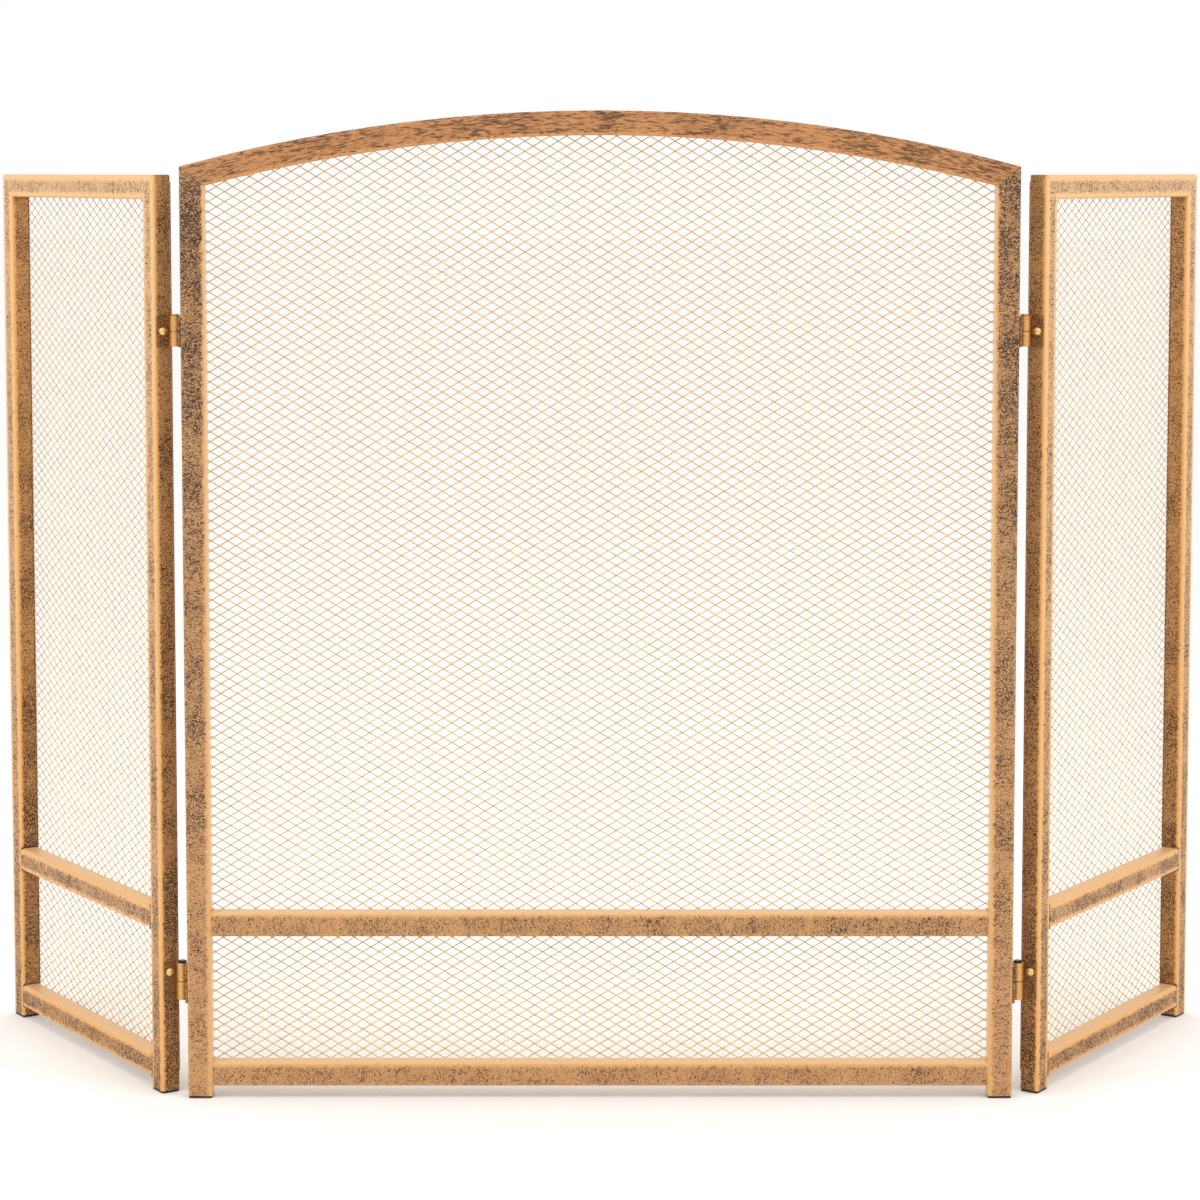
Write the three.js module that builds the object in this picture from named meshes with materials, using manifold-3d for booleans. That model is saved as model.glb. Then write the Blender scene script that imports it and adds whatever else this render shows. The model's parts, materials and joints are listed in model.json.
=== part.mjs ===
// Three-panel folding fireplace screen: an arched centre frame and two side wings on barrel hinges.
// Millimetres. +X to the right, +Y to the back (towards the fire), +Z up, floor at z = 0.
import * as THREE from 'three'
import { mergeVertices } from 'three/addons/utils/BufferGeometryUtils.js'
import Module from 'manifold-3d'

const wasm = await Module()
wasm.setup()

// Panels
const overallHeight = 737      // floor to the crown of the centre frame
const centerWidth = 617
const archRise = 41            // crown above the shoulders of the centre frame
const sideWidth = 275
const sideHeight = 690
const foldAngle = 56           // how far each wing is turned back from flat, in degrees

// Rectangular steel tube
const tubeFace = 18            // width seen from the front
const tubeDepth = 15           // front to back
const tubeWall = 1.2
const tubeCorner = 2.2         // outside corner radius
const cornerSteps = 3
const archSteps = 24

// Rails
const footHeight = 9.3         // floor to the underside of the bottom rails
const midRailHeight = 123      // floor to the underside of the middle rails

// Infill and the flat strips that hold it on the back of each frame
const meshThickness = 0.8
const meshInset = 6            // frame's outside edge to the infill's edge
const stripWidth = 9
const stripInset = 5           // frame's outside edge to the strip's edge
const stripThickness = 1

// Barrel hinges, from the top down
const hinges = [
  { name: 'upper', centerHeight: 574.7, height: 22.5, wingKnuckle: 'lower' },
  { name: 'lower', centerHeight: 86, height: 28, wingKnuckle: 'upper' },
]
const hingeGap = 5.4           // frame's outside face to the hinge axis
const barrelRadius = 4.1
const pinRadius = 2.2
const pinClearance = 0.15
const pinHeadRadius = 3.3
const pinHeadHeight = 1.2
const leafThickness = 1.5
const leafMargin = 2           // leaf's front edge behind the frame's front face
const knuckleGap = 0.6         // between the two knuckles of a barrel
const knuckleClearance = 0.5   // leaf cut back round the other leaf's knuckle
const barrelSides = 24

// Domed screws through the wing leaves
const screwHeadRadius = 3.5
const screwHeadHeight = 2.8
const screwShankRadius = 1.6
const screwLength = 9
const screwClearance = 0.3
const screwMargin = 1          // head's edge behind the leaf's front edge
const screwSides = 16
const domeSteps = 4
const screwDrop = { upper: 0, lower: -7 }   // screw below the hinge's centre

// Plugs in the feet
const plugFlange = 1.5
const plugDepth = 10
const plugClearance = 0.2
const plugInset = 0.4          // flange inside the tube's outline

const seatGap = 0.3            // between pieces that sit or butt on each other
const cutSize = 4000           // edge of the blocks that trim a piece at a plane

// Derived sizes
const foldTurn = THREE.MathUtils.degToRad(foldAngle)
const shoulderHeight = overallHeight - archRise
const halfCenter = centerWidth / 2
const archRadius = (halfCenter ** 2 + archRise ** 2) / (2 * archRise)
const archCenterHeight = overallHeight - archRadius
const archHalfAngle = Math.asin(halfCenter / archRadius)
const tubeBottom = plugFlange + seatGap
const bottomRailMiddle = footHeight + tubeFace / 2
const midRailMiddle = midRailHeight + tubeFace / 2
const hingeBack = tubeDepth    // hinge axis behind the centre frame's front face
const meshFront = tubeDepth + seatGap
const stripFront = meshFront + meshThickness + seatGap
const leafSeat = hingeGap - seatGap
const boreRadius = pinRadius + pinClearance
const screwMiddle = leafMargin + screwMargin + screwHeadRadius - hingeBack

const tubePaint = { color: 0xb98258, roughness: 0.5, metalness: 0.35 }
const archPaint = { color: 0xa06c48, roughness: 0.5, metalness: 0.35 }
const meshWire = { color: 0xd9b878, roughness: 0.4, metalness: 0.7 }
const stripPaint = { color: 0x9a6b45, roughness: 0.55, metalness: 0.4 }
const hingeSteel = { color: 0xc48f5c, roughness: 0.35, metalness: 0.7 }
const pinSteel = { color: 0x2a211b, roughness: 0.5, metalness: 0.6 }
const screwBrass = { color: 0xe0b06a, roughness: 0.25, metalness: 0.85 }
const plugPlastic = { color: 0x1f1c1a, roughness: 0.6, metalness: 0 }

// Solids

function toSolid(geometry) {
  const bare = geometry.clone()
  bare.deleteAttribute('normal')
  bare.deleteAttribute('uv')
  const merged = mergeVertices(bare, 1e-4)
  return new wasm.Manifold(new wasm.Mesh({
    numProp: 3,
    vertProperties: new Float32Array(merged.attributes.position.array),
    triVerts: new Uint32Array(merged.index.array),
  }))
}

function toGeometry(solid) {
  const { vertProperties, triVerts } = solid.getMesh()
  const geometry = new THREE.BufferGeometry()
  geometry.setAttribute('position', new THREE.BufferAttribute(new Float32Array(vertProperties), 3))
  geometry.setIndex(new THREE.BufferAttribute(new Uint32Array(triVerts), 1))
  geometry.computeVertexNormals()
  return geometry
}

function addPiece(group, name, solid, finish) {
  const piece = new THREE.Mesh(toGeometry(solid), new THREE.MeshStandardMaterial(finish))
  piece.name = name
  group.add(piece)
}

// A block that fills everything on the normal's side of a plane
function beyondPlane(point, normal) {
  const block = new THREE.BoxGeometry(cutSize, cutSize, cutSize)
  block.translate(0, 0, cutSize / 2)
  const turn = new THREE.Quaternion().setFromUnitVectors(new THREE.Vector3(0, 0, 1), normal)
  block.applyQuaternion(turn)
  block.translate(point.x, point.y, point.z)
  return toSolid(block)
}

function trim(solid, point, normal, gap) {
  const start = point.clone().addScaledVector(normal, -gap)
  return solid.subtract(beyondPlane(start, normal))
}

function roundedRectangle(width, height, radius) {
  const [x, y] = [width / 2, height / 2]
  const shape = new THREE.Shape()
  shape.moveTo(x, radius - y)
  shape.lineTo(x, y - radius)
  shape.absarc(x - radius, y - radius, radius, 0, Math.PI / 2)
  shape.lineTo(radius - x, y)
  shape.absarc(radius - x, y - radius, radius, Math.PI / 2, Math.PI)
  shape.lineTo(-x, radius - y)
  shape.absarc(radius - x, radius - y, radius, Math.PI, 1.5 * Math.PI)
  shape.lineTo(x - radius, -y)
  shape.absarc(x - radius, radius - y, radius, 1.5 * Math.PI, 2 * Math.PI)
  return shape
}

// Section of the tube: its face along x, its depth along y
function tubeSection(face, depth) {
  const section = roundedRectangle(face, depth, tubeCorner)
  const hollow = roundedRectangle(face - 2 * tubeWall, depth - 2 * tubeWall, tubeCorner - tubeWall)
  section.holes.push(hollow)
  return section
}

// Upright tube with its middle at x, standing from bottom to top
function uprightTube(x, bottom, top) {
  const options = { depth: top - bottom, bevelEnabled: false, curveSegments: cornerSteps }
  const geometry = new THREE.ExtrudeGeometry(tubeSection(tubeFace, tubeDepth), options)
  geometry.translate(x, tubeDepth / 2, bottom)
  return toSolid(geometry)
}

// Level tube with its middle at height z, running from x = from to x = to
function levelTube(z, from, to) {
  const options = { depth: to - from, bevelEnabled: false, curveSegments: cornerSteps }
  const geometry = new THREE.ExtrudeGeometry(tubeSection(tubeFace, tubeDepth), options)
  geometry.rotateY(Math.PI / 2)
  geometry.translate(from, tubeDepth / 2, z)
  return toSolid(geometry)
}

// Arc in the x-z plane about the arch's centre, from left to right
class ArchCurve extends THREE.Curve {
  constructor(radius, halfAngle) {
    super()
    this.radius = radius
    this.halfAngle = halfAngle
  }

  getPoint(t, target = new THREE.Vector3()) {
    const angle = (2 * t - 1) * this.halfAngle
    const height = archCenterHeight + this.radius * Math.cos(angle)
    return target.set(this.radius * Math.sin(angle), tubeDepth / 2, height)
  }
}

// Flat plate: an outline in x-z, from y = front to the back
function plate(shape, front, thickness) {
  const options = { depth: thickness, bevelEnabled: false, curveSegments: archSteps }
  const geometry = new THREE.ExtrudeGeometry(shape, options)
  geometry.rotateX(Math.PI / 2)
  geometry.translate(0, front + thickness, 0)
  return toSolid(geometry)
}

function bar(left, right, bottom, top, front, thickness) {
  const geometry = new THREE.BoxGeometry(right - left, thickness, top - bottom)
  geometry.translate((left + right) / 2, front + thickness / 2, (bottom + top) / 2)
  return toSolid(geometry)
}

function rod(radius, bottom, top, sides = barrelSides) {
  const geometry = new THREE.CylinderGeometry(radius, radius, top - bottom, sides)
  geometry.rotateX(Math.PI / 2)
  geometry.translate(0, 0, (bottom + top) / 2)
  return toSolid(geometry)
}

// Mitres: a plane through the outside and the inside corner of two tubes, facing up and outwards

function mitrePlane(side, outerX, outerZ, innerX, innerZ) {
  const along = new THREE.Vector3(side * (innerX - outerX), 0, innerZ - outerZ).normalize()
  const up = new THREE.Vector3(-side * along.z, 0, side * along.x)
  if (up.z < 0) up.negate()
  return { point: new THREE.Vector3(side * outerX, 0, outerZ), up }
}

function archHeightAt(radius, x) {
  return archCenterHeight + Math.sqrt(radius ** 2 - x ** 2)
}

const archInnerX = halfCenter - tubeFace
const archInnerHeight = archHeightAt(archRadius - tubeFace, archInnerX)
const shoulderMitres = [-1, 1].map((side) =>
  mitrePlane(side, halfCenter, shoulderHeight, archInnerX, archInnerHeight))

function cutUnderMitre(solid, mitre) {
  return trim(solid, mitre.point, mitre.up, seatGap / 2)
}

function cutOverMitre(solid, mitre) {
  return trim(solid, mitre.point, mitre.up.clone().negate(), seatGap / 2)
}

// Centre frame

function archRail() {
  const curve = new ArchCurve(archRadius - tubeFace / 2, archHalfAngle * 1.08)
  const options = { steps: archSteps, extrudePath: curve, curveSegments: cornerSteps }
  const section = tubeSection(tubeDepth, tubeFace)
  const arch = toSolid(new THREE.ExtrudeGeometry(section, options))
  return shoulderMitres.reduce(cutOverMitre, arch)
}

// Outline under an arc of the given inset, between x = -halfWidth and halfWidth, above bottom
function archedOutline(halfWidth, bottom, inset) {
  const radius = archRadius - inset
  const angle = Math.asin(halfWidth / radius)
  const shape = new THREE.Shape()
  shape.moveTo(-halfWidth, bottom)
  shape.lineTo(halfWidth, bottom)
  shape.absarc(0, archCenterHeight, radius, Math.PI / 2 - angle, Math.PI / 2 + angle, false)
  return shape
}

function archedStrip() {
  const [outer, inner] = [archRadius - stripInset, archRadius - stripInset - stripWidth]
  const [start, end] = [Math.PI / 2 - archHalfAngle, Math.PI / 2 + archHalfAngle]
  const shape = new THREE.Shape()
  shape.absarc(0, archCenterHeight, outer, start, end, false)
  shape.absarc(0, archCenterHeight, inner, end, start, true)
  return shoulderMitres.reduce(cutOverMitre, plate(shape, stripFront, stripThickness))
}

function addCenterPanel(group) {
  const stileX = halfCenter - tubeFace / 2
  const railEnd = halfCenter - tubeFace - seatGap
  const stripOuter = halfCenter - stripInset
  const stripInner = stripOuter - stripWidth
  const stripBottom = footHeight + stripInset
  for (const [name, side, mitre] of [['left', -1, shoulderMitres[0]], ['right', 1, shoulderMitres[1]]]) {
    const stile = uprightTube(side * stileX, tubeBottom, overallHeight)
    addPiece(group, `center_${name}_stile`, cutUnderMitre(stile, mitre), tubePaint)
    const edges = [side * stripInner, side * stripOuter].sort((a, b) => a - b)
    const strip = bar(...edges, stripBottom, overallHeight, stripFront, stripThickness)
    addPiece(group, `center_mesh_strip_${name}`, cutUnderMitre(strip, mitre), stripPaint)
    addPiece(group, `center_${name}_foot_plug`, footPlug(side * stileX), plugPlastic)
  }
  addPiece(group, 'center_arch_rail', archRail(), archPaint)
  addPiece(group, 'center_mid_rail', levelTube(midRailMiddle, -railEnd, railEnd), tubePaint)
  addPiece(group, 'center_bottom_rail', levelTube(bottomRailMiddle, -railEnd, railEnd), tubePaint)

  const infill = archedOutline(halfCenter - meshInset, footHeight + meshInset, meshInset)
  addPiece(group, 'center_mesh', plate(infill, meshFront, meshThickness), meshWire)
  addPiece(group, 'center_mesh_strip_top', archedStrip(), stripPaint)
  const sill = stripInner - seatGap
  const bottomStrip = bar(-sill, sill, stripBottom, stripBottom + stripWidth, stripFront, stripThickness)
  addPiece(group, 'center_mesh_strip_bottom', bottomStrip, stripPaint)
}

// Plug in the open lower end of a stile: a flange that stands on the floor and a block up inside
function footPlug(x) {
  const fit = tubeWall + plugClearance
  const face = roundedRectangle(tubeFace - 2 * plugInset, tubeDepth - 2 * plugInset, tubeCorner - plugInset)
  const block = roundedRectangle(tubeFace - 2 * fit, tubeDepth - 2 * fit, tubeCorner - tubeWall)
  const flange = new THREE.ExtrudeGeometry(face,
    { depth: plugFlange, bevelEnabled: false, curveSegments: cornerSteps })
  const stem = new THREE.ExtrudeGeometry(block,
    { depth: plugDepth, bevelEnabled: false, curveSegments: cornerSteps })
  const plug = toSolid(flange).add(toSolid(stem))
  return plug.translate(x, tubeDepth / 2, 0)
}

// Side wings: local x = 0 on the hinge axis, local y = 0 on the wing's front face

function addWing(group, name, side) {
  const hingeSide = hingeGap
  const outerEdge = hingeGap + sideWidth
  const [innerStileX, outerStileX] = [hingeSide + tubeFace / 2, outerEdge - tubeFace / 2]
  const cornerMitres = [
    mitrePlane(side, hingeSide, sideHeight, hingeSide + tubeFace, sideHeight - tubeFace),
    mitrePlane(side, outerEdge, sideHeight, outerEdge - tubeFace, sideHeight - tubeFace),
  ]
  const span = (from, to) => [side * from, side * to].sort((a, b) => a - b)

  const innerStile = drillForScrews(uprightTube(side * innerStileX, tubeBottom, sideHeight), side)
  const outerStile = uprightTube(side * outerStileX, tubeBottom, sideHeight)
  addPiece(group, `${name}_inner_stile`, cutUnderMitre(innerStile, cornerMitres[0]), tubePaint)
  addPiece(group, `${name}_outer_stile`, cutUnderMitre(outerStile, cornerMitres[1]), tubePaint)
  addPiece(group, `${name}_inner_foot_plug`, footPlug(side * innerStileX), plugPlastic)
  addPiece(group, `${name}_outer_foot_plug`, footPlug(side * outerStileX), plugPlastic)

  const topRail = levelTube(sideHeight - tubeFace / 2, ...span(hingeSide, outerEdge))
  addPiece(group, `${name}_top_rail`, cornerMitres.reduce(cutOverMitre, topRail), tubePaint)
  const railSpan = span(hingeSide + tubeFace + seatGap, outerEdge - tubeFace - seatGap)
  addPiece(group, `${name}_mid_rail`, levelTube(midRailMiddle, ...railSpan), tubePaint)
  addPiece(group, `${name}_bottom_rail`, levelTube(bottomRailMiddle, ...railSpan), tubePaint)

  const infill = bar(...span(hingeSide + meshInset, outerEdge - meshInset), footHeight + meshInset,
    sideHeight - meshInset, meshFront, meshThickness)
  addPiece(group, `${name}_mesh`, infill, meshWire)

  const stripBottom = footHeight + stripInset
  const stripTop = sideHeight - stripInset
  const [stripFrom, stripTo] = [hingeSide + stripInset, outerEdge - stripInset]
  const uprights = [
    ['inner', span(stripFrom, stripFrom + stripWidth), cornerMitres[0]],
    ['outer', span(stripTo - stripWidth, stripTo), cornerMitres[1]],
  ]
  for (const [place, edges, mitre] of uprights) {
    const strip = bar(...edges, stripBottom, stripTop, stripFront, stripThickness)
    addPiece(group, `${name}_mesh_strip_${place}`, cutUnderMitre(strip, mitre), stripPaint)
  }
  const topStrip = bar(...span(stripFrom, stripTo), stripTop - stripWidth, stripTop,
    stripFront, stripThickness)
  addPiece(group, `${name}_mesh_strip_top`, cornerMitres.reduce(cutOverMitre, topStrip), stripPaint)
  const sill = span(stripFrom + stripWidth + seatGap, stripTo - stripWidth - seatGap)
  const bottomStrip = bar(...sill, stripBottom, stripBottom + stripWidth, stripFront, stripThickness)
  addPiece(group, `${name}_mesh_strip_bottom`, bottomStrip, stripPaint)
}

// Hinges: local x = y = 0 on the axis

function hingeEnds(hinge) {
  return [hinge.centerHeight - hinge.height / 2, hinge.centerHeight + hinge.height / 2]
}

// A flat plate against the frame's outside face, with one knuckle of the barrel
function hingeLeaf(hinge, side, knuckle) {
  const [bottom, top] = hingeEnds(hinge)
  const low = [bottom, hinge.centerHeight - knuckleGap / 2]
  const high = [hinge.centerHeight + knuckleGap / 2, top]
  const [own, other] = knuckle === 'lower' ? [low, high] : [high, low]
  const [near, far] = [side * (leafSeat - leafThickness), side * leafSeat].sort((a, b) => a - b)
  const flat = bar(near, far, bottom, top, leafMargin - hingeBack, hingeBack - leafMargin)
  const swing = rod(barrelRadius + knuckleClearance, other[0] - knuckleGap, other[1] + knuckleGap)
  const bore = rod(boreRadius, bottom - knuckleGap, top + knuckleGap)
  return flat.subtract(swing).add(rod(barrelRadius, ...own)).subtract(bore)
}

function hingePin(hinge) {
  const [bottom, top] = hingeEnds(hinge)
  const head = rod(pinHeadRadius, top + seatGap, top + seatGap + pinHeadHeight)
  return rod(pinRadius, bottom, top + seatGap + pinHeadHeight).add(head)
}

function screwHeight(hinge) {
  return hinge.centerHeight - screwDrop[hinge.name]
}

// Rod along local x at a screw's place
function screwBore(hinge, side, from, to) {
  const geometry = new THREE.CylinderGeometry(screwShankRadius + screwClearance,
    screwShankRadius + screwClearance, to - from, screwSides)
  geometry.rotateZ(Math.PI / 2)
  geometry.translate(side * (from + to) / 2, screwMiddle, screwHeight(hinge))
  return toSolid(geometry)
}

function drillForScrews(stile, side) {
  const drill = (solid, hinge) => {
    const hole = screwBore(hinge, side, hingeGap - tubeWall, hingeGap + 2 * tubeWall)
    return solid.subtract(hole.translate(0, hingeBack, 0))
  }
  return hinges.reduce(drill, stile)
}

// Domed head against the leaf, shank through the leaf and the tube's wall
function domedScrew(hinge, side) {
  const dome = (screwHeadRadius ** 2 + screwHeadHeight ** 2) / (2 * screwHeadHeight)
  const spread = Math.asin(screwHeadRadius / dome)
  const outline = new THREE.Path()
  outline.moveTo(0, -screwLength)
  outline.lineTo(screwShankRadius, -screwLength)
  outline.lineTo(screwShankRadius, 0)
  outline.lineTo(screwHeadRadius, 0)
  outline.absarc(0, screwHeadHeight - dome, dome, Math.PI / 2 - spread, Math.PI / 2, false)
  const points = outline.getPoints(domeSteps).map((point) => new THREE.Vector2(Math.max(point.x, 0), point.y))
  points[points.length - 1].x = 0
  const geometry = new THREE.LatheGeometry(points, screwSides)
  geometry.rotateZ(side * Math.PI / 2)
  const headSeat = leafSeat - leafThickness - seatGap
  geometry.translate(side * headSeat, screwMiddle, screwHeight(hinge))
  return toSolid(geometry)
}

function addHinges(centerGroup, wingGroup, name, side) {
  for (const hinge of hinges) {
    const label = `${name}_${hinge.name}_hinge`
    const centerKnuckle = hinge.wingKnuckle === 'lower' ? 'upper' : 'lower'
    addPiece(centerGroup, `${label}_center_leaf`, hingeLeaf(hinge, -side, centerKnuckle), hingeSteel)
    addPiece(centerGroup, `${label}_pin`, hingePin(hinge), pinSteel)
    const clearHole = screwBore(hinge, side, 0, hingeGap)
    const wingLeaf = hingeLeaf(hinge, side, hinge.wingKnuckle).subtract(clearHole)
    addPiece(wingGroup, `${label}_wing_leaf`, wingLeaf, hingeSteel)
    addPiece(wingGroup, `${label}_screw`, domedScrew(hinge, side), screwBrass)
  }
}

// The whole screen

const group = new THREE.Group()
addCenterPanel(group)

for (const [name, side] of [['left', -1], ['right', 1]]) {
  const axisX = side * (halfCenter + hingeGap)
  const centerHinges = new THREE.Group()
  centerHinges.position.set(axisX, hingeBack, 0)
  const wing = new THREE.Group()
  wing.position.copy(centerHinges.position)
  wing.rotation.z = side * foldTurn
  const wingFrame = new THREE.Group()
  wingFrame.position.y = -hingeBack
  addWing(wingFrame, name, side)
  wing.add(wingFrame)
  addHinges(centerHinges, wing, name, side)
  group.add(centerHinges, wing)
}

// Origin on the floor, in the middle of the footprint
const footprint = new THREE.Box3().setFromObject(group)
group.position.y = -(footprint.min.y + footprint.max.y) / 2

export default group
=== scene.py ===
import json
import math

import bmesh
import bpy
from mathutils import Matrix, Vector, noise

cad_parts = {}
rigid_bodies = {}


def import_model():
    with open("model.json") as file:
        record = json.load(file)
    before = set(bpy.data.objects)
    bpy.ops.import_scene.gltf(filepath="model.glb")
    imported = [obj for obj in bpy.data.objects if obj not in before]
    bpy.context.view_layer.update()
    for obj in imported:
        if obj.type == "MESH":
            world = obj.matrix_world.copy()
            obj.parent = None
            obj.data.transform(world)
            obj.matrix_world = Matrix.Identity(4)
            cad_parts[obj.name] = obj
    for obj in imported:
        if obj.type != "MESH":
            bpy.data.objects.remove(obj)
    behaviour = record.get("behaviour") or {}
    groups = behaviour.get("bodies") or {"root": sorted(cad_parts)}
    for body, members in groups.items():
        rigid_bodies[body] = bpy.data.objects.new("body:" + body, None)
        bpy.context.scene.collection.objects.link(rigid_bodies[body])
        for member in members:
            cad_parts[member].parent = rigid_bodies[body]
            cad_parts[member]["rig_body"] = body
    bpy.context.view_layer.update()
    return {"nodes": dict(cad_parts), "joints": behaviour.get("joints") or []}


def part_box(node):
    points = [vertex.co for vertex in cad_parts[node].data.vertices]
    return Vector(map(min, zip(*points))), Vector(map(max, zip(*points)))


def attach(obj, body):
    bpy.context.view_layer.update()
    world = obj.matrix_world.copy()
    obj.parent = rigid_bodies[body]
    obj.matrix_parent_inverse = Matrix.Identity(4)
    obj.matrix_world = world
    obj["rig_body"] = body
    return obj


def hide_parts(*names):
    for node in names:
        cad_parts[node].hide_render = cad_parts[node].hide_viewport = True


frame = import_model()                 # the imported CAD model: bodies, nodes, joints, record
nodes = frame["nodes"]
joints = {joint["name"]: joint for joint in frame["joints"]}
mm = 0.001
print("stage: CAD frame loaded,", len(nodes), "nodes")


# Sizes shared by the three panels, in metres
panel = {
    "tubeFace": 18 * mm,
    "tubeDepth": 15 * mm,
    "tubeCorner": 2.2 * mm,
    "archRise": 41 * mm,
    "meshInset": 6 * mm,          # mesh edge inside the frame's outline
}

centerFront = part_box("center_left_stile")[0].y
halfCenter = -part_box("center_left_stile")[0].x
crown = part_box("center_arch_rail")[1].z
archRadius = (halfCenter ** 2 + panel["archRise"] ** 2) / (2 * panel["archRise"])
archCenter = crown - archRadius
shoulder = crown - panel["archRise"]
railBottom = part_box("center_bottom_rail")[0].z
railMiddles = [sum(c.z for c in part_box(f"center_{place}_rail")) / 2 for place in ("mid", "bottom")]
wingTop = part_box("left_top_rail")[1].z


# Places of the panels. Local x runs along a panel from left to right, from the middle of the
# center frame or from a wing's hinge, and local y runs back from the front face.
sides = {"left": -1, "right": 1}


def wingPlace(side):
    joint = joints[f"{side}_fold"]
    axis = Vector(joint["pos_m"])
    turn = -sides[side] * math.radians(joint["range_deg"][0])       # the lower limit opens the wing flat
    stand = Matrix.Translation((axis.x, axis.y, 0)) @ Matrix.Rotation(turn, 4, "Z")
    return stand @ Matrix.Translation((0, -panel["tubeDepth"], 0))


places = {
    "center": Matrix.Translation((0, centerFront, 0)),
    "left": wingPlace("left"),
    "right": wingPlace("right"),
}


def localBox(name, place):
    inverse = places[place].inverted()
    corners = [inverse @ vertex.co for vertex in nodes[name].data.vertices]
    low = Vector(min(c[i] for c in corners) for i in range(3))
    high = Vector(max(c[i] for c in corners) for i in range(3))
    return low, high


# Materials

def toLinear(hexColour):
    values = [int(hexColour[i:i + 2], 16) / 255 for i in (1, 3, 5)]
    return [v / 12.92 if v <= 0.04045 else ((v + 0.055) / 1.055) ** 2.4 for v in values] + [1.0]


def addNode(tree, kind, inputs=None, **settings):
    node = tree.nodes.new("ShaderNode" + kind)
    for name, value in settings.items():
        setattr(node, name, value)
    for key, value in (inputs or {}).items():
        shown = [s for s in node.inputs if s.enabled]
        socket = shown[key] if isinstance(key, int) else next(s for s in shown if s.name == key)
        if isinstance(value, bpy.types.Node):
            value = next(s for s in value.outputs if s.enabled)
        if isinstance(value, bpy.types.NodeSocket):
            tree.links.new(value, socket)
        elif isinstance(value, str):
            socket.default_value = toLinear(value)
        else:
            socket.default_value = value
    return node


def newMaterial(name):
    material = bpy.data.materials.new(name)
    material.use_nodes = True
    material.node_tree.nodes.clear()
    return material, material.node_tree


# What a Map Range node is given: a value, the range it has and the range it gets
def remap(value, source=(0.0, 1.0), result=(0.0, 1.0)):
    return {"Value": value, "From Min": source[0], "From Max": source[1],
            "To Min": result[0], "To Max": result[1]}


# Steel tube, sprayed copper, brushed with a dark glaze and rubbed back along its corners.
# The corners are bright and clean, the middle of each face keeps short dark strokes that run across the
# tube, and more of the glaze is left higher up. The tops of rails and the insides of stiles keep little
# glaze and get a pale painted highlight.
tubeLook = {
    "corner": "#DCA76C",
    "face": "#D39E69",
    "wash": "#8D6548",                      # thinned glaze between the strokes
    "washShare": 0.85,
    "washFall": 1.5,                        # it thins faster than the strokes where less glaze is left
    "glaze": "#38261A",
    "coolGlaze": "#4A3A31",
    "paintedHighlight": "#F4D2A4",                      # pale cream painted highlight, for faces that the light falls on
    # painted highlight on the fronts, growing to this share at the top
    "frontHighlightRise": 0.0,
    # how much painted highlight the tops of rails and insides of stiles get
    "innerHighlight": 0.6,
    "cleanEdge": (2.4 * mm, 6.4 * mm),      # glaze starts and is full this far from a corner
    "spread": 3.6 * mm,                     # and comes this much nearer where it is thickest
    "lean": (-0.16, 0, 0),                  # and the clean edge widens towards one side
    "tear": (3 * mm, 6 * mm),               # size and depth of its ragged outline
    "strokeWidth": 0.72 * mm,               # along the tube
    "strokeStretch": 0.55,                  # strokes are this much finer along the tube than across it
    "strokeGrit": 0.6,
    "strokeGap": 0.845,                     # the higher, the fewer strokes
    "coverWeight": 0.22,                    # how much thick glaze adds to them
    "clumpScale": 0.3,                      # a clump is about three strokes wide
    "clumpWeight": 0.3,
    "strokeEdge": (-0.06, 0.1),             # the wider, the softer a stroke's outline
    "nickEdge": (0.48, 0.33),               # bright nicks between the strokes
    "nickShare": 0.9,
    "patchLength": 30 * mm,
    "patchSpan": (0.35, 0.65),
    "patchShare": (0.72, 1.12),             # thinner and thicker patches of glaze
    "toneLength": 14 * mm,
    "toneSpan": (0.3, 0.7),                 # the glaze turns from warm to cool between these
    "coverLow": 0.62,                       # share of the glaze left at the floor
    "coverHigh": 1.12,                      # and at the top
    "frontEdge": (0.2 * mm, 1.2 * mm),      # the front ends between these depths
    "frontShare": 1.0,                      # how much glaze stays on it
    "innerShare": 0.1,                      # and on the faces with a painted highlight: tops of rails, insides of stiles
    "peel": 0.9 * mm,                       # orange peel of the sprayed paint
    "strokeRelief": -0.6,                   # strokes lie in the paint's hollows
    "bumpStrength": 0.45,
    "relief": 0.12 * mm,
    "metallic": 0.3,
    "specular": 0.4,
    "roughness": (0.4, 0.58),               # clean copper, glaze
}

# The wings are a lighter copy of the tube paint, with painted light: brighter corners and wash, less glaze
# on the fronts, a pale painted highlight on the fronts that grows towards the top, and more glaze low down,
# so the wings darken towards the floor
wingLook = dict(
    tubeLook,
    corner="#E6AC67",
    face="#D09D68",
    wash="#B07C49",
    cleanEdge=(3.5 * mm, 6.9 * mm),
    lean=(-0.05, 0, 0.3),
    # painted shade low down and painted light at the top: more glaze at the floor, less at the top
    coverLow=1.1,
    coverHigh=0.82,
    frontShare=0.85,
    frontHighlightRise=0.38,
)

# The arch is brushed lengthwise with a browner glaze, so it is streaked
archLook = dict(
    tubeLook,
    corner="#D2965D",
    face="#D0935D",
    wash="#94623F",
    glaze="#65442B",
    coolGlaze="#5F4432",
    cleanEdge=(2.7 * mm, 4.6 * mm),
    lean=(0.12, 0, 0),
    strokeWidth=6 * mm,
    strokeStretch=7.5,
    coverLow=0.6,
    coverHigh=0.8,
)


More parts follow.
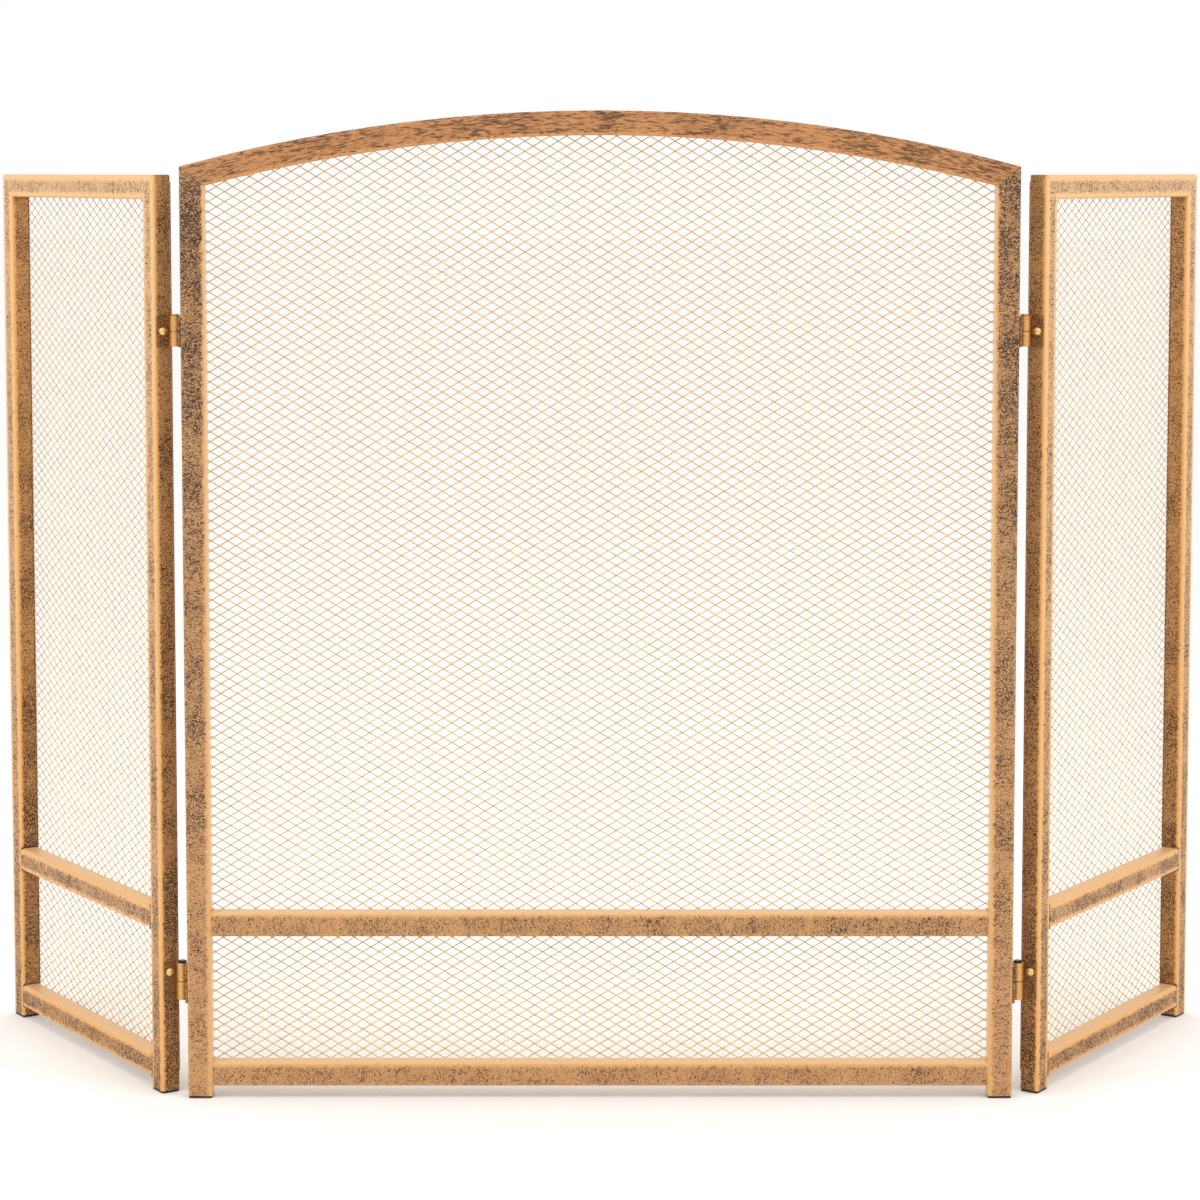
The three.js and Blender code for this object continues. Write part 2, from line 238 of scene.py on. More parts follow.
def antiqueCopper(name, look):
    material, tree = newMaterial(name)
    along = addNode(tree, "Attribute", attribute_name="tubePlace").outputs["Vector"]
    place = addNode(tree, "SeparateXYZ", {0: along})
    height = addNode(tree, "SeparateXYZ", {0: addNode(tree, "TexCoord").outputs["Object"]}).outputs["Z"]

    # How thick the glaze is at this height; on the wings it thins towards the top, as painted light from
    # above
    climb = addNode(tree, "MapRange", remap(height, (0, crown), (look["coverLow"], look["coverHigh"])))

    # Distance from the nearest corner round the section, and where the glaze ends before it
    halves = {"X": panel["tubeFace"] / 2, "Z": panel["tubeDepth"] / 2}
    rests = []
    for axis, half in halves.items():
        off = addNode(tree, "Math", {0: place.outputs[axis]}, operation="ABSOLUTE")
        rests.append(addNode(tree, "Math", {0: half, 1: off}, operation="SUBTRACT"))
    corner = addNode(tree, "Math", {0: rests[0], 1: rests[1]}, operation="MAXIMUM")
    tearSize, tearDepth = look["tear"]
    tear = addNode(tree, "TexNoise", {"Vector": along, "Scale": 1 / tearSize, "Detail": 3.0})
    shift = addNode(tree, "Math", {0: tear, 1: tearDepth, 2: -tearDepth / 2}, operation="MULTIPLY_ADD")
    ragged = addNode(tree, "Math", {0: corner, 1: shift})
    leaning = addNode(tree, "VectorMath", {0: along, 1: look["lean"]}, operation="DOT_PRODUCT")
    uneven = addNode(tree, "Math", {0: ragged, 1: leaning.outputs["Value"]})
    reach = addNode(tree, "Math", {0: climb, 1: look["spread"], 2: uneven}, operation="MULTIPLY_ADD")
    middle = addNode(tree, "MapRange", remap(reach, look["cleanEdge"]), interpolation_type="SMOOTHSTEP")
    # Tops of rails and insides of stiles keep less glaze: part of their painted highlight
    litFace = addNode(tree, "Attribute", attribute_name="litFaceHighlight").outputs["Fac"]
    inner = addNode(tree, "MapRange", remap(litFace, (0, 1), (1, look["innerShare"])))
    band = addNode(tree, "Math", {0: middle, 1: inner}, operation="MULTIPLY")

    # How much glaze is left here, in patches
    patches = addNode(tree, "TexNoise", {"Vector": along, "Scale": 1 / look["patchLength"], "Detail": 2.0})
    patchy = addNode(tree, "MapRange", remap(patches, look["patchSpan"], look["patchShare"]))
    frontDepths = [depth - halves["Z"] for depth in look["frontEdge"]]
    front = addNode(tree, "MapRange", remap(place.outputs["Z"], frontDepths, (1, 0)))
    share = addNode(tree, "MapRange", remap(front, (0, 1), (1, look["frontShare"])))
    heightAndFront = addNode(tree, "Math", {0: climb, 1: share}, operation="MULTIPLY")
    left = addNode(tree, "Math", {0: heightAndFront, 1: patchy}, operation="MULTIPLY")
    cover = addNode(tree, "Math", {0: left, 1: band}, operation="MULTIPLY")

    # Strokes of the brush, and the nicks between them
    width = look["strokeWidth"]
    stretch = (look["strokeStretch"], 1.0, look["strokeStretch"])
    across = addNode(tree, "VectorMath", {0: along, 1: stretch}, operation="MULTIPLY")
    strokes = addNode(tree, "TexNoise", {"Vector": across, "Scale": 1 / width, "Detail": 2.0,
                                         "Roughness": look["strokeGrit"]})
    clumps = addNode(tree, "TexNoise", {"Vector": across, "Scale": look["clumpScale"] / width,
                                        "Detail": 1.0})
    limit = addNode(tree, "Math", {0: cover, 1: look["coverWeight"], 2: -look["strokeGap"]},
                    operation="MULTIPLY_ADD")
    clumped = addNode(tree, "Math", {0: clumps, 1: look["clumpWeight"], 2: limit},
                      operation="MULTIPLY_ADD")
    over = addNode(tree, "Math", {0: strokes, 1: clumped})
    stroke = addNode(tree, "MapRange", remap(over, look["strokeEdge"]), interpolation_type="SMOOTHSTEP")
    nicks = addNode(tree, "MapRange", remap(strokes, look["nickEdge"], (0, look["nickShare"])))
    nicked = addNode(tree, "Math", {0: nicks, 1: cover}, operation="MULTIPLY")

    # Colours
    tones = addNode(tree, "TexNoise", {"Vector": along, "Scale": 1 / look["toneLength"], "Detail": 2.0})
    toned = addNode(tree, "MapRange", remap(tones, look["toneSpan"]))
    faded = addNode(tree, "Math", {0: band, 1: toned}, operation="MULTIPLY")
    bare = addNode(tree, "Mix", {"Factor": band, "A": look["corner"], "B": look["face"]}, data_type="RGBA")
    thinned = addNode(tree, "Math", {0: cover, 1: look["washFall"]}, operation="POWER")
    thin = addNode(tree, "Math", {0: thinned, 1: look["washShare"]}, operation="MULTIPLY")
    brown = addNode(tree, "Mix", {"Factor": thin, "A": bare, "B": look["wash"]}, data_type="RGBA")
    # Painted highlight: pale cream mixed into the fronts, more towards the top, and into the tops of rails
    # and insides of stiles
    rise = addNode(tree, "MapRange", remap(height, (0, crown), (0, look["frontHighlightRise"])))
    frontHighlight = addNode(tree, "Math", {0: rise, 1: front}, operation="MULTIPLY")
    innerHighlight = addNode(tree, "MapRange", remap(inner, (1, look["innerShare"]), (0, look["innerHighlight"])))
    paintedHighlight = addNode(tree, "Math", {0: frontHighlight, 1: innerHighlight}, operation="MAXIMUM")
    scraped = addNode(tree, "Mix", {"Factor": nicked, "A": brown, "B": look["corner"]}, data_type="RGBA")
    highlighted = addNode(tree, "Mix", {"Factor": paintedHighlight, "A": scraped, "B": look["paintedHighlight"]}, data_type="RGBA")
    glaze = addNode(tree, "Mix", {"Factor": faded, "A": look["glaze"], "B": look["coolGlaze"]},
                    data_type="RGBA")
    colour = addNode(tree, "Mix", {"Factor": stroke, "A": highlighted, "B": glaze}, data_type="RGBA")

    # Gloss and relief
    gloss = addNode(tree, "MapRange", remap(stroke, (0, 1), look["roughness"]))
    peel = addNode(tree, "TexNoise", {"Vector": along, "Scale": 1 / look["peel"], "Detail": 2.0})
    relief = addNode(tree, "Math", {0: stroke, 1: look["strokeRelief"], 2: peel}, operation="MULTIPLY_ADD")
    bump = addNode(tree, "Bump", {"Height": relief, "Strength": look["bumpStrength"],
                                  "Distance": look["relief"]})
    shader = addNode(tree, "BsdfPrincipled", {"Base Color": colour, "Roughness": gloss, "Normal": bump,
                                              "Metallic": look["metallic"],
                                              "Specular IOR Level": look["specular"]})
    addNode(tree, "OutputMaterial", {"Surface": shader})
    return material


grainStrength = 0.3               # of the bump on everything but the tubes


# Gloss that follows the spots, and a fine grain
def grainyCoat(tree, look, where, share, colour):
    gloss = addNode(tree, "MapRange", remap(share, (0, 1), look["roughness"]))
    grain = addNode(tree, "TexNoise", {"Vector": where, "Scale": 1 / look["grain"], "Detail": 2.0})
    bump = addNode(tree, "Bump", {"Height": grain, "Strength": grainStrength, "Distance": look["relief"]})
    shader = addNode(tree, "BsdfPrincipled", {"Base Color": colour, "Roughness": gloss, "Normal": bump,
                                              "Metallic": look["metallic"]})
    addNode(tree, "OutputMaterial", {"Surface": shader})


# A finish whose colour and gloss drift between two values, in spots of one size
def mottled(name, look):
    material, tree = newMaterial(name)
    where = addNode(tree, "TexCoord").outputs["Object"]
    freckles = addNode(tree, "TexNoise", {"Vector": where, "Scale": 1 / look["spot"], "Detail": 3.0})
    share = addNode(tree, "MapRange", remap(freckles, look["split"]), interpolation_type="SMOOTHSTEP")
    colour = addNode(tree, "Mix", {"Factor": share, "A": look["colour"], "B": look["spotColour"]},
                     data_type="RGBA")
    grainyCoat(tree, look, where, share, colour)
    return material


# Hinges painted with the frame. Near the pin's axis the knuckles are bright copper, partly the paint's own
# colour and partly a painted highlight; further out the leaves are dark and blotchy, partly a real glaze
# and partly painted shade for the shadow round the knuckle and screw
hingeLook = {
    "knuckle": "#E4AE66",
    "knuckleShade": "#9C6A40",
    "shadeShare": 0.45,
    "leaf": "#A87A4C",
    "leafGlaze": "#4A3422",
    "blotch": 1.2 * mm,
    "blotchEdge": (0.42, 0.62),
    "knuckleEdge": (4.3 * mm, 5.4 * mm),      # from the pin's axis
    "grain": 0.7 * mm,
    "relief": 0.05 * mm,
    "metallic": 0.55,
    "roughness": (0.28, 0.5),                 # rubbed, glazed
}


def hingeMetal(name, look):
    material, tree = newMaterial(name)
    where = addNode(tree, "TexCoord").outputs["Object"]
    axis = joints["right_fold"]["pos_m"]
    mirrored = addNode(tree, "VectorMath", {0: where}, operation="ABSOLUTE")      # both sides fall on one
    fromPin = addNode(tree, "VectorMath", {0: mirrored, 1: (axis[0], -axis[1], 0)}, operation="SUBTRACT")
    flat = addNode(tree, "VectorMath", {0: fromPin, 1: (1, 1, 0)}, operation="MULTIPLY")
    radius = addNode(tree, "VectorMath", {0: flat}, operation="LENGTH").outputs["Value"]
    # Bright knuckle near the pin's axis, darker leaf further out: partly painted highlight and painted
    # shade
    onLeaf = addNode(tree, "MapRange", remap(radius, look["knuckleEdge"]), interpolation_type="SMOOTHSTEP")
    blotches = addNode(tree, "TexNoise", {"Vector": where, "Scale": 1 / look["blotch"], "Detail": 3.0})
    share = addNode(tree, "MapRange", remap(blotches, look["blotchEdge"]), interpolation_type="SMOOTHSTEP")
    wear = addNode(tree, "Math", {0: share, 1: look["shadeShare"]}, operation="MULTIPLY")
    bright = addNode(tree, "Mix", {"Factor": wear, "A": look["knuckle"], "B": look["knuckleShade"]},
                     data_type="RGBA")
    dark = addNode(tree, "Mix", {"Factor": share, "A": look["leaf"], "B": look["leafGlaze"]},
                   data_type="RGBA")
    colour = addNode(tree, "Mix", {"Factor": onLeaf, "A": bright, "B": dark}, data_type="RGBA")
    grainyCoat(tree, look, where, share, colour)
    return material


finishes = {
    "frame_paint": antiqueCopper("glazedCopperPaint", tubeLook),
    "wing_paint": antiqueCopper("glazedCopperPaintPaintedTopLight", wingLook),
    "arch_paint": antiqueCopper("glazedCopperPaintBrushedLengthwise", archLook),
    # Woven steel wire under gold lacquer: pale yellow metal, a little browner where the lacquer is thick
    "wire_mesh": mottled("goldLacqueredWire", {
        "colour": "#E6C26C", "spotColour": "#D4AC58", "spot": 9 * mm, "split": (0.4, 0.65),
        "roughness": (0.32, 0.45), "grain": 0.8 * mm, "relief": 0.03 * mm, "metallic": 0.45}),
    # Flat steel strip sprayed with the copper paint and left unrubbed: even brown, slight orange peel
    "strip_paint": mottled("sprayedCopperStrip", {
        "colour": "#B98258", "spotColour": "#8A5E40", "spot": 7 * mm, "split": (0.45, 0.7),
        "roughness": (0.42, 0.55), "grain": 1.2 * mm, "relief": 0.08 * mm, "metallic": 0.35}),
    "hinge_paint": hingeMetal("hingePaintWithPaintedLight", hingeLook),
    # Oil-blackened steel pin: near black with a faint brown bloom
    "pin_steel": mottled("blackenedSteel", {
        "colour": "#2B241F", "spotColour": "#4A3A2E", "spot": 1.5 * mm, "split": (0.5, 0.75),
        "roughness": (0.38, 0.55), "grain": 0.5 * mm, "relief": 0.03 * mm, "metallic": 0.8}),
    # Polished brass dome: bright, with a few tarnished freckles
    "screw_brass": mottled("polishedBrass", {
        "colour": "#E9BE79", "spotColour": "#A97B41", "spot": 1.6 * mm, "split": (0.52, 0.75),
        "roughness": (0.2, 0.36), "grain": 0.6 * mm, "relief": 0.02 * mm, "metallic": 0.9}),
    # Moulded polyethylene plug: matt black with a fine spark texture
    "foot_plastic": mottled("mouldedBlackPlastic", {
        "colour": "#232120", "spotColour": "#2E2B29", "spot": 3 * mm, "split": (0.4, 0.6),
        "roughness": (0.5, 0.62), "grain": 0.4 * mm, "relief": 0.04 * mm, "metallic": 0.0}),
}
print("stage: materials made,", len(finishes))


# Pieces

sharpAngle = math.radians(50)     # edges that bend more than this count as sharp
flatAngle = math.radians(0.5)     # faces that bend less than this are joined
mergeGap = 0.002 * mm             # between points of the CAD meshes that are one and the same


def addPiece(bm, name, body, slot, replaced=(), paint=None):
    mesh = bpy.data.meshes.new(name)
    bm.to_mesh(mesh)
    bm.free()
    mesh.materials.append(finishes[paint or slot])
    piece = bpy.data.objects.new(name, mesh)
    bpy.context.scene.collection.objects.link(piece)
    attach(piece, body)
    if replaced:
        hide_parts(*replaced)
    return piece


def joinInto(bm, part):
    spare = bpy.data.meshes.new("spare")
    part.to_mesh(spare)
    part.free()
    bm.from_mesh(spare)
    bpy.data.meshes.remove(spare)


def mergedCopy(name):
    bm = bmesh.new()
    bm.from_mesh(nodes[name].data)
    bmesh.ops.remove_doubles(bm, verts=bm.verts, dist=mergeGap)
    if "arch" not in name:          # the arch needs its rungs for the pattern to follow the bend
        bmesh.ops.dissolve_limit(bm, angle_limit=flatAngle, verts=bm.verts, edges=bm.edges)
    return bm


def shadeSmooth(bm):
    for face in bm.faces:
        face.smooth = True
    for edge in bm.edges:
        edge.smooth = len(edge.link_faces) == 2 and edge.calc_face_angle() < sharpAngle


def evenNormals(piece):
    weighted = piece.modifiers.new("evenNormals", "WEIGHTED_NORMAL")
    weighted.keep_sharp = True


marking = {
    "shift": 1.7,                 # from one tube's stretch of the pattern to the next one's
    "litRim": 1.2 * mm,         # the painted highlight fades in round the corner over this much
}


# Marks where each point of a tube lies: across the face, along the tube, through the depth.
# Every tube has its own stretch of the pattern along it. The face that gets a painted highlight, where a
# tube has one, is the top of a rail or the inside of a stile, on the positive side across it.
def markTube(bm, name, place, order):
    layer = bm.verts.layers.float_vector.new("tubePlace")
    litFace = bm.verts.layers.float.new("litFaceHighlight")
    outermost = name.endswith(("outer_stile", "top_rail", "arch_rail"))
    inverse = places[place].inverted()
    low, high = localBox(name, place)
    middle = (low + high) / 2
    shift = order * marking["shift"]
    litFrom = panel["tubeFace"] / 2 - marking["litRim"]
    for vertex in bm.verts:
        local = inverse @ vertex.co
        depth = local.y - panel["tubeDepth"] / 2
        if "arch" in name:
            arm = Vector((local.x, local.z - archCenter))
            off = arm.length - archRadius + panel["tubeFace"] / 2
            run = archRadius * math.atan2(arm.x, arm.y)
        elif "stile" in name:
            clean = sides[place] if place in sides else -math.copysign(1, middle.x)
            off, run = clean * (local.x - middle.x), local.z
        else:
            off, run = local.z - middle.z, local.x
        vertex[layer] = (off, run + shift, depth)
        # Share of the painted highlight, fading in round the corner
        past = (off - litFrom) / marking["litRim"]
        vertex[litFace] = 0 if outermost else min(max(past, 0), 1)


wingTubes = ["inner_stile", "outer_stile", "top_rail", "mid_rail", "bottom_rail"]
tubes = {
    "center": ["left_stile", "right_stile", "arch_rail", "mid_rail", "bottom_rail"],
    "left": wingTubes,
    "right": wingTubes,
}
tubeNames = [(place, f"{place}_{part}") for place, parts in tubes.items() for part in parts]
for order, (place, name) in enumerate(tubeNames):
    bm = mergedCopy(name)
    shadeSmooth(bm)
    markTube(bm, name, place, order)
    slot = "arch_paint" if "arch" in name else "frame_paint"
    paint = "wing_paint" if place in sides else slot
    evenNormals(addPiece(bm, f"{name}_tube", nodes[name]["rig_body"], slot, [name], paint))
print("stage: tubes painted,", len(tubeNames))


# Smaller CAD pieces with their sharp edges eased: a word in the name, the finish, the easing
eased = {
    "strip": ("strip_paint", 0.3 * mm),
    "leaf": ("hinge_paint", 0.3 * mm),
    "pin": ("pin_steel", 0.35 * mm),
    "screw": ("screw_brass", 0.2 * mm),
    "plug": ("foot_plastic", 0.4 * mm),
}


def easedCopy(name, width):
    bm = mergedCopy(name)
    sharp = [e for e in bm.edges if len(e.link_faces) == 2 and e.calc_face_angle() > sharpAngle]
    bmesh.ops.bevel(bm, geom=sharp, offset=width, offset_type="OFFSET", affect="EDGES", segments=2,
                    profile=0.5, material=-1, clamp_overlap=True)
    shadeSmooth(bm)
    return bm


for name in sorted(nodes):
    for word, (slot, width) in eased.items():
        if word in name.split("_"):
            paint = "hinge_paint" if "upper_hinge_pin" in name else slot      # upper pins are painted over
            bm = easedCopy(name, width)
            evenNormals(addPiece(bm, f"{name}_eased", nodes[name]["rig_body"], slot, [name], paint))
            break
print("stage: strips, hinges and plugs eased")


# Woven wire: two families of crimped wires that cross in wide diamonds
weave = {
    "halfWidth": 6.15 * mm,       # half a cell's width
    "halfHeight": 3.7 * mm,
    "wireRadius": 0.37 * mm,
    "crimp": 0.3 * mm,            # each wire bends this far to pass over and under
    "middle": 15.7 * mm,          # behind the frame's front face
    "archCuts": 12,               # the arch trims the wires in this many straight cuts
}


# One family: a strand that zigzags in depth as it rises to the right, repeated to fill the sheet
def crimpedFamily(left, right, bottom, top):
    stepX, stepZ, crimp = weave["halfWidth"], weave["halfHeight"], weave["crimp"]
    steps = math.ceil((top - bottom) / stepZ) + 1
    lean = steps * stepX
    first = math.floor((left - lean) / (2 * stepX)) * 2
    count = math.ceil((right - left + lean) / (2 * stepX)) + 1
    bm = bmesh.new()
    ring = bmesh.ops.create_circle(bm, segments=4, radius=weave["wireRadius"], cap_ends=False)["verts"]
    facing = Vector((stepX, 0, stepZ)).to_track_quat("Z", "Y").to_matrix()
    bmesh.ops.rotate(bm, verts=ring, cent=(0, 0, 0), matrix=facing)
    bmesh.ops.translate(bm, verts=ring, vec=(first * stepX, weave["middle"] + crimp, bottom))
    edges = list(bm.edges)
    for step in range(steps):
        grown = bmesh.ops.extrude_edge_only(bm, edges=edges)["geom"]
        edges = [g for g in grown if isinstance(g, bmesh.types.BMEdge)]
        moved = [g for g in grown if isinstance(g, bmesh.types.BMVert)]
        bend = 2 * crimp * (-1 if step % 2 == 0 else 1)
        bmesh.ops.translate(bm, verts=moved, vec=(stepX, bend, stepZ))
    made = 1
    while made < count:           # the row of wires doubles until it is wide enough
        strand = bm.verts[:] + bm.edges[:] + bm.faces[:]
        copied = bmesh.ops.duplicate(bm, geom=strand)["geom"]
        verts = [g for g in copied if isinstance(g, bmesh.types.BMVert)]
        bmesh.ops.translate(bm, verts=verts, vec=(2 * stepX * made, 0, 0))
        made *= 2
    return bm


# Takes away what lies past a plane
def cutAway(bm, point, outwards):
    geometry = bm.verts[:] + bm.edges[:] + bm.faces[:]
    bmesh.ops.bisect_plane(bm, geom=geometry, dist=0.0001 * mm, plane_co=point, plane_no=outwards,
                           clear_outer=True)


def wovenMesh(place, left, right, bottom, top, archEdge=None):
    bm = bmesh.new()
    for turned in (False, True):
        ends = (-right, -left) if turned else (left, right)
        family = crimpedFamily(*ends, bottom, top)
        if turned:      # the other family is the first one turned round an upright through the sheet
            bmesh.ops.rotate(family, verts=family.verts, cent=(0, weave["middle"], 0),
                             matrix=Matrix.Rotation(math.pi, 3, "Z"))
        cutAway(family, (left, 0, 0), (-1, 0, 0))
        cutAway(family, (right, 0, 0), (1, 0, 0))
        cutAway(family, (0, 0, bottom), (0, 0, -1))
        cutAway(family, (0, 0, top), (0, 0, 1))
        if archEdge:
            reach = math.asin(right / archEdge)
            for cut in range(weave["archCuts"]):
                angle = reach * (2 * (cut + 0.5) / weave["archCuts"] - 1)
                outwards = Vector((math.sin(angle), 0, math.cos(angle)))
                cutAway(family, Vector((0, 0, archCenter)) + outwards * archEdge, outwards)
        joinInto(bm, family)
    loose = [v for v in bm.verts if not v.link_faces]
    bmesh.ops.delete(bm, geom=loose, context="VERTS")
    bmesh.ops.holes_fill(bm, edges=[e for e in bm.edges if e.is_boundary], sides=8)
    bmesh.ops.recalc_face_normals(bm, faces=bm.faces)
    bmesh.ops.transform(bm, matrix=places[place], verts=bm.verts)
    for face in bm.faces:
        face.smooth = len(face.verts) == 4
    print("woven mesh", place, len(bm.faces), "faces")
    name = f"{place}_mesh"
    addPiece(bm, f"{place}_woven_mesh", nodes[name]["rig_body"], "wire_mesh", [name])


inset = panel["meshInset"]
reach = halfCenter - inset
wovenMesh("center", -reach, reach, railBottom + inset, crown - inset, archRadius - inset)
for side in sides:
    low, high = localBox(f"{side}_mesh", side)
    wovenMesh(side, low.x, high.x, low.z, high.z)
print("stage: wire meshes woven")


# Weld beads where tubes meet: slightly lumpy, proud above and below, ground flush in front
bead = {
    "bite": 1.3 * mm,             # into the stile
    "reach": 1.5 * mm,            # over the rail
    "proud": 0.7 * mm,
    "recess": 0.06 * mm,          # behind the tubes' faces
    "round": 0.8 * mm,
    "lump": 0.22 * mm,
    "lumpSize": 2.2 * mm,
    "longEdge": 4 * mm,           # edges longer than this are cut up for the lumps to show
    "cuts": 6,
    "seamWidth": 0.9 * mm,
    "seamRound": 0.2 * mm,
}

# How far from a tube's corner the paint takes each to be: next to it clean, further off glazed
paintedAt = {"weld": 2 * mm, "centerSeam": 6 * mm, "wingSeam": 0}


def addBead(bm, matrix, size, easing):
    part = bmesh.new()
    bmesh.ops.create_cube(part, size=1)
    bmesh.ops.scale(part, verts=part.verts, vec=size)
    bmesh.ops.bevel(part, geom=part.edges[:], offset=easing, offset_type="OFFSET", affect="EDGES",
                    segments=2, profile=0.5, material=-1, clamp_overlap=True)
    long = [e for e in part.edges if e.calc_length() > bead["longEdge"]]
    bmesh.ops.subdivide_edges(part, edges=long, cuts=bead["cuts"], use_grid_fill=True)
    bmesh.ops.transform(part, matrix=matrix, verts=part.verts)
    joinInto(bm, part)


def finishBeads(bm, name, place, fromCorner):
    layer = bm.verts.layers.float_vector.new("tubePlace")
    depth = panel["tubeDepth"]
    across, behind = panel["tubeFace"] / 2 - fromCorner, depth / 2 - fromCorner
    for vertex in bm.verts:
        sway = noise.noise_vector(vertex.co / bead["lumpSize"])
        vertex.co += Vector((sway.x, 0, sway.z)) * bead["lump"]
        vertex.co.y = min(max(vertex.co.y, bead["recess"]), depth - bead["recess"])
        vertex[layer] = (across, vertex.co.x + vertex.co.z, behind)
    bmesh.ops.recalc_face_normals(bm, faces=bm.faces)
    shadeSmooth(bm)
    bmesh.ops.transform(bm, matrix=places[place], verts=bm.verts)
    paint = "wing_paint" if place in sides else "frame_paint"
    addPiece(bm, name, nodes[f"{place}_mid_rail"]["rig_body"], "frame_paint", paint=paint)


def railBeads(bm, leftEdge, rightEdge):
    height = panel["tubeFace"] + 2 * bead["proud"]
    size = (bead["bite"] + bead["reach"], panel["tubeDepth"], height)
    push = (bead["reach"] - bead["bite"]) / 2
    for level in railMiddles:
        for x in (leftEdge + push, rightEdge - push):
            addBead(bm, Matrix.Translation((x, panel["tubeDepth"] / 2, level)), size, bead["round"])


# A thin seam of filler in a mitre, from the outside corner to the inside one
def mitreSeam(bm, outer, inner):
    run = Vector(inner) - Vector(outer)
    middle = (Vector(inner) + Vector(outer)) / 2
    turn = Matrix.Rotation(-math.atan2(run.z, run.x), 4, "Y")
    matrix = Matrix.Translation((middle.x, panel["tubeDepth"] / 2, middle.z)) @ turn
    size = (run.length - 2 * panel["tubeCorner"], panel["tubeDepth"], bead["seamWidth"])
    addBead(bm, matrix, size, bead["seamRound"])


beads = bmesh.new()
innerEdge = halfCenter - panel["tubeFace"]
innerHeight = archCenter + math.sqrt((archRadius - panel["tubeFace"]) ** 2 - innerEdge ** 2)
railBeads(beads, -innerEdge, innerEdge)
finishBeads(beads, "center_weld_beads", "center", paintedAt["weld"])
seams = bmesh.new()
for sign in sides.values():
    mitreSeam(seams, (sign * halfCenter, 0, shoulder), (sign * innerEdge, 0, innerHeight))
finishBeads(seams, "center_mitre_seams", "center", paintedAt["centerSeam"])

for side in sides:
    beads = bmesh.new()
    low, high = localBox(f"{side}_top_rail", side)
    left, right = low.x + panel["tubeFace"], high.x - panel["tubeFace"]
    railBeads(beads, left, right)
    finishBeads(beads, f"{side}_weld_beads", side, paintedAt["weld"])
    seams = bmesh.new()
    under = wingTop - panel["tubeFace"]
    mitreSeam(seams, (low.x, 0, wingTop), (left, 0, under))
    mitreSeam(seams, (high.x, 0, wingTop), (right, 0, under))
    finishBeads(seams, f"{side}_mitre_seams", side, paintedAt["wingSeam"])
print("stage: weld beads laid")


# Spot welds through the flat strips on the back
spots = {
    "pitch": 74 * mm,
    "radius": 2.3 * mm,
    "proud": 0.28 * mm,
    "margin": 24 * mm,            # from a strip's end
    "underArch": 9.5 * mm,        # middle of the bent strip below the arch's outer edge
}


def addSpot(bm, x, z, rearPlane):
    matrix = Matrix.Translation((x, rearPlane, z))
    matrix = matrix @ Matrix.Diagonal((1, spots["proud"] / spots["radius"], 1, 1))
    bmesh.ops.create_icosphere(bm, subdivisions=2, radius=spots["radius"], matrix=matrix)


def spotRow(bm, start, end, rearPlane):
    run = end - start
    count = max(2, round(run.length / spots["pitch"]) + 1)
    for step in range(count):
        point = start + run * step / (count - 1)
        addSpot(bm, point.x, point.z, rearPlane)


def stripSpots(place, strips):
    bm = bmesh.new()
    for strip in strips:
        low, high = localBox(f"{place}_mesh_strip_{strip}", place)
        middle = (low + high) / 2
        if place == "center" and strip == "top":
            radius = archRadius - spots["underArch"]
            reach = math.asin((halfCenter - spots["margin"]) / radius)
            count = round(2 * reach * radius / spots["pitch"])
            for step in range(count + 1):
                angle = reach * (2 * step / count - 1)
                addSpot(bm, radius * math.sin(angle), archCenter + radius * math.cos(angle), high.y)
        elif high.z - low.z > high.x - low.x:
            start = Vector((middle.x, 0, low.z + spots["margin"]))
            spotRow(bm, start, Vector((middle.x, 0, high.z - spots["margin"])), high.y)
        else:
            start = Vector((low.x + spots["margin"], 0, middle.z))
            spotRow(bm, start, Vector((high.x - spots["margin"], 0, middle.z)), high.y)
    for face in bm.faces:
        face.smooth = True
    bmesh.ops.transform(bm, matrix=places[place], verts=bm.verts)
    addPiece(bm, f"{place}_spot_welds", nodes[f"{place}_mesh"]["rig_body"], "strip_paint")


stripSpots("center", ["left", "right", "top", "bottom"])
for side in sides:
    stripSpots(side, ["inner", "outer", "top", "bottom"])
print("stage: spot welds set")


# Floor, light and camera

stage = {
    "floorSize": 60,
    "floorColour": "#FBFBF9",
    "floorRoughness": 0.9,
    "floorSpecular": 0.1,
    "worldColour": "#FFFFFF",
    "worldStrength": 1.0,
}

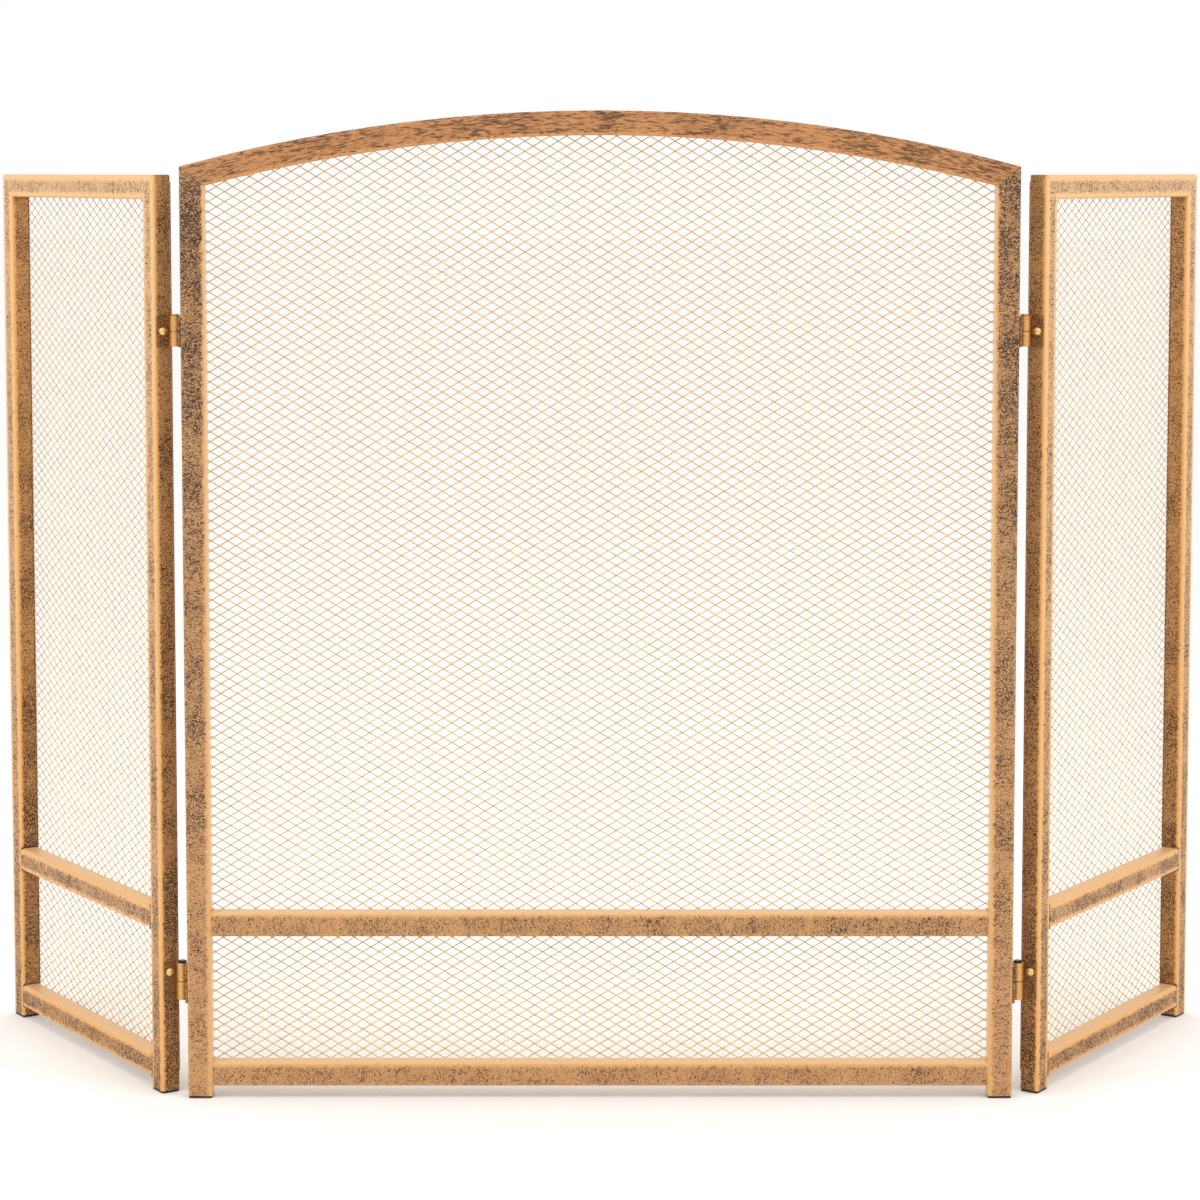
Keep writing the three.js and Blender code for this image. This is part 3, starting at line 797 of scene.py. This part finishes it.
bm = bmesh.new()
bmesh.ops.create_grid(bm, x_segments=1, y_segments=1, size=stage["floorSize"] / 2)
floorMesh = bpy.data.meshes.new("studioFloor")
bm.to_mesh(floorMesh)
bm.free()
floor = bpy.data.objects.new("studioFloor", floorMesh)
bpy.context.scene.collection.objects.link(floor)
floorPaint, tree = newMaterial("mattWhiteFloor")
matt = addNode(tree, "BsdfPrincipled", {"Base Color": stage["floorColour"],
                                        "Roughness": stage["floorRoughness"],
                                        "Specular IOR Level": stage["floorSpecular"]})
addNode(tree, "OutputMaterial", {"Surface": matt})
floorMesh.materials.append(floorPaint)

world = bpy.data.worlds.new("studio")
world.use_nodes = True
world.node_tree.nodes.clear()
sky = addNode(world.node_tree, "Background", {"Color": stage["worldColour"],
                                              "Strength": stage["worldStrength"]})
addNode(world.node_tree, "OutputWorld", {"Surface": sky})
bpy.context.scene.world = world

softboxes = {
    "overhead": {"place": (0, -0.7, 2.4), "aim": (0, 0, 0.4), "size": (2.4, 1.8), "power": 7},
    "highLeft": {"place": (-1.35, -0.75, 1.25), "aim": (-0.4, 0, 0.6), "size": (0.7, 0.7), "power": 5},
    "highRight": {"place": (1.35, -0.75, 1.25), "aim": (0.4, 0, 0.6), "size": (0.7, 0.7), "power": 5},
}
for name, box in softboxes.items():
    lamp = bpy.data.lights.new(name, "AREA")
    lamp.shape = "RECTANGLE"
    lamp.size, lamp.size_y = box["size"]
    lamp.energy = box["power"]
    light = bpy.data.objects.new(name, lamp)
    bpy.context.scene.collection.objects.link(light)
    light.location = box["place"]
    aim = Vector(box["aim"]) - Vector(box["place"])
    light.rotation_euler = aim.to_track_quat("-Z", "Y").to_euler()
bpy.context.scene.view_settings.view_transform = "Standard"

view = {"distance": 2.3, "height": 0.693, "tiltDown": 4.55, "lens": 94.0, "shiftY": -0.15}
lens = bpy.data.cameras.new("camera")
lens.lens = view["lens"]
lens.shift_y = view["shiftY"]
camera = bpy.data.objects.new("camera", lens)
bpy.context.scene.collection.objects.link(camera)
camera.location = (0, centerFront - view["distance"], view["height"])
camera.rotation_euler = (math.radians(90 - view["tiltDown"]), 0, 0)
bpy.context.scene.camera = camera
print("stage: floor, lights and camera set")
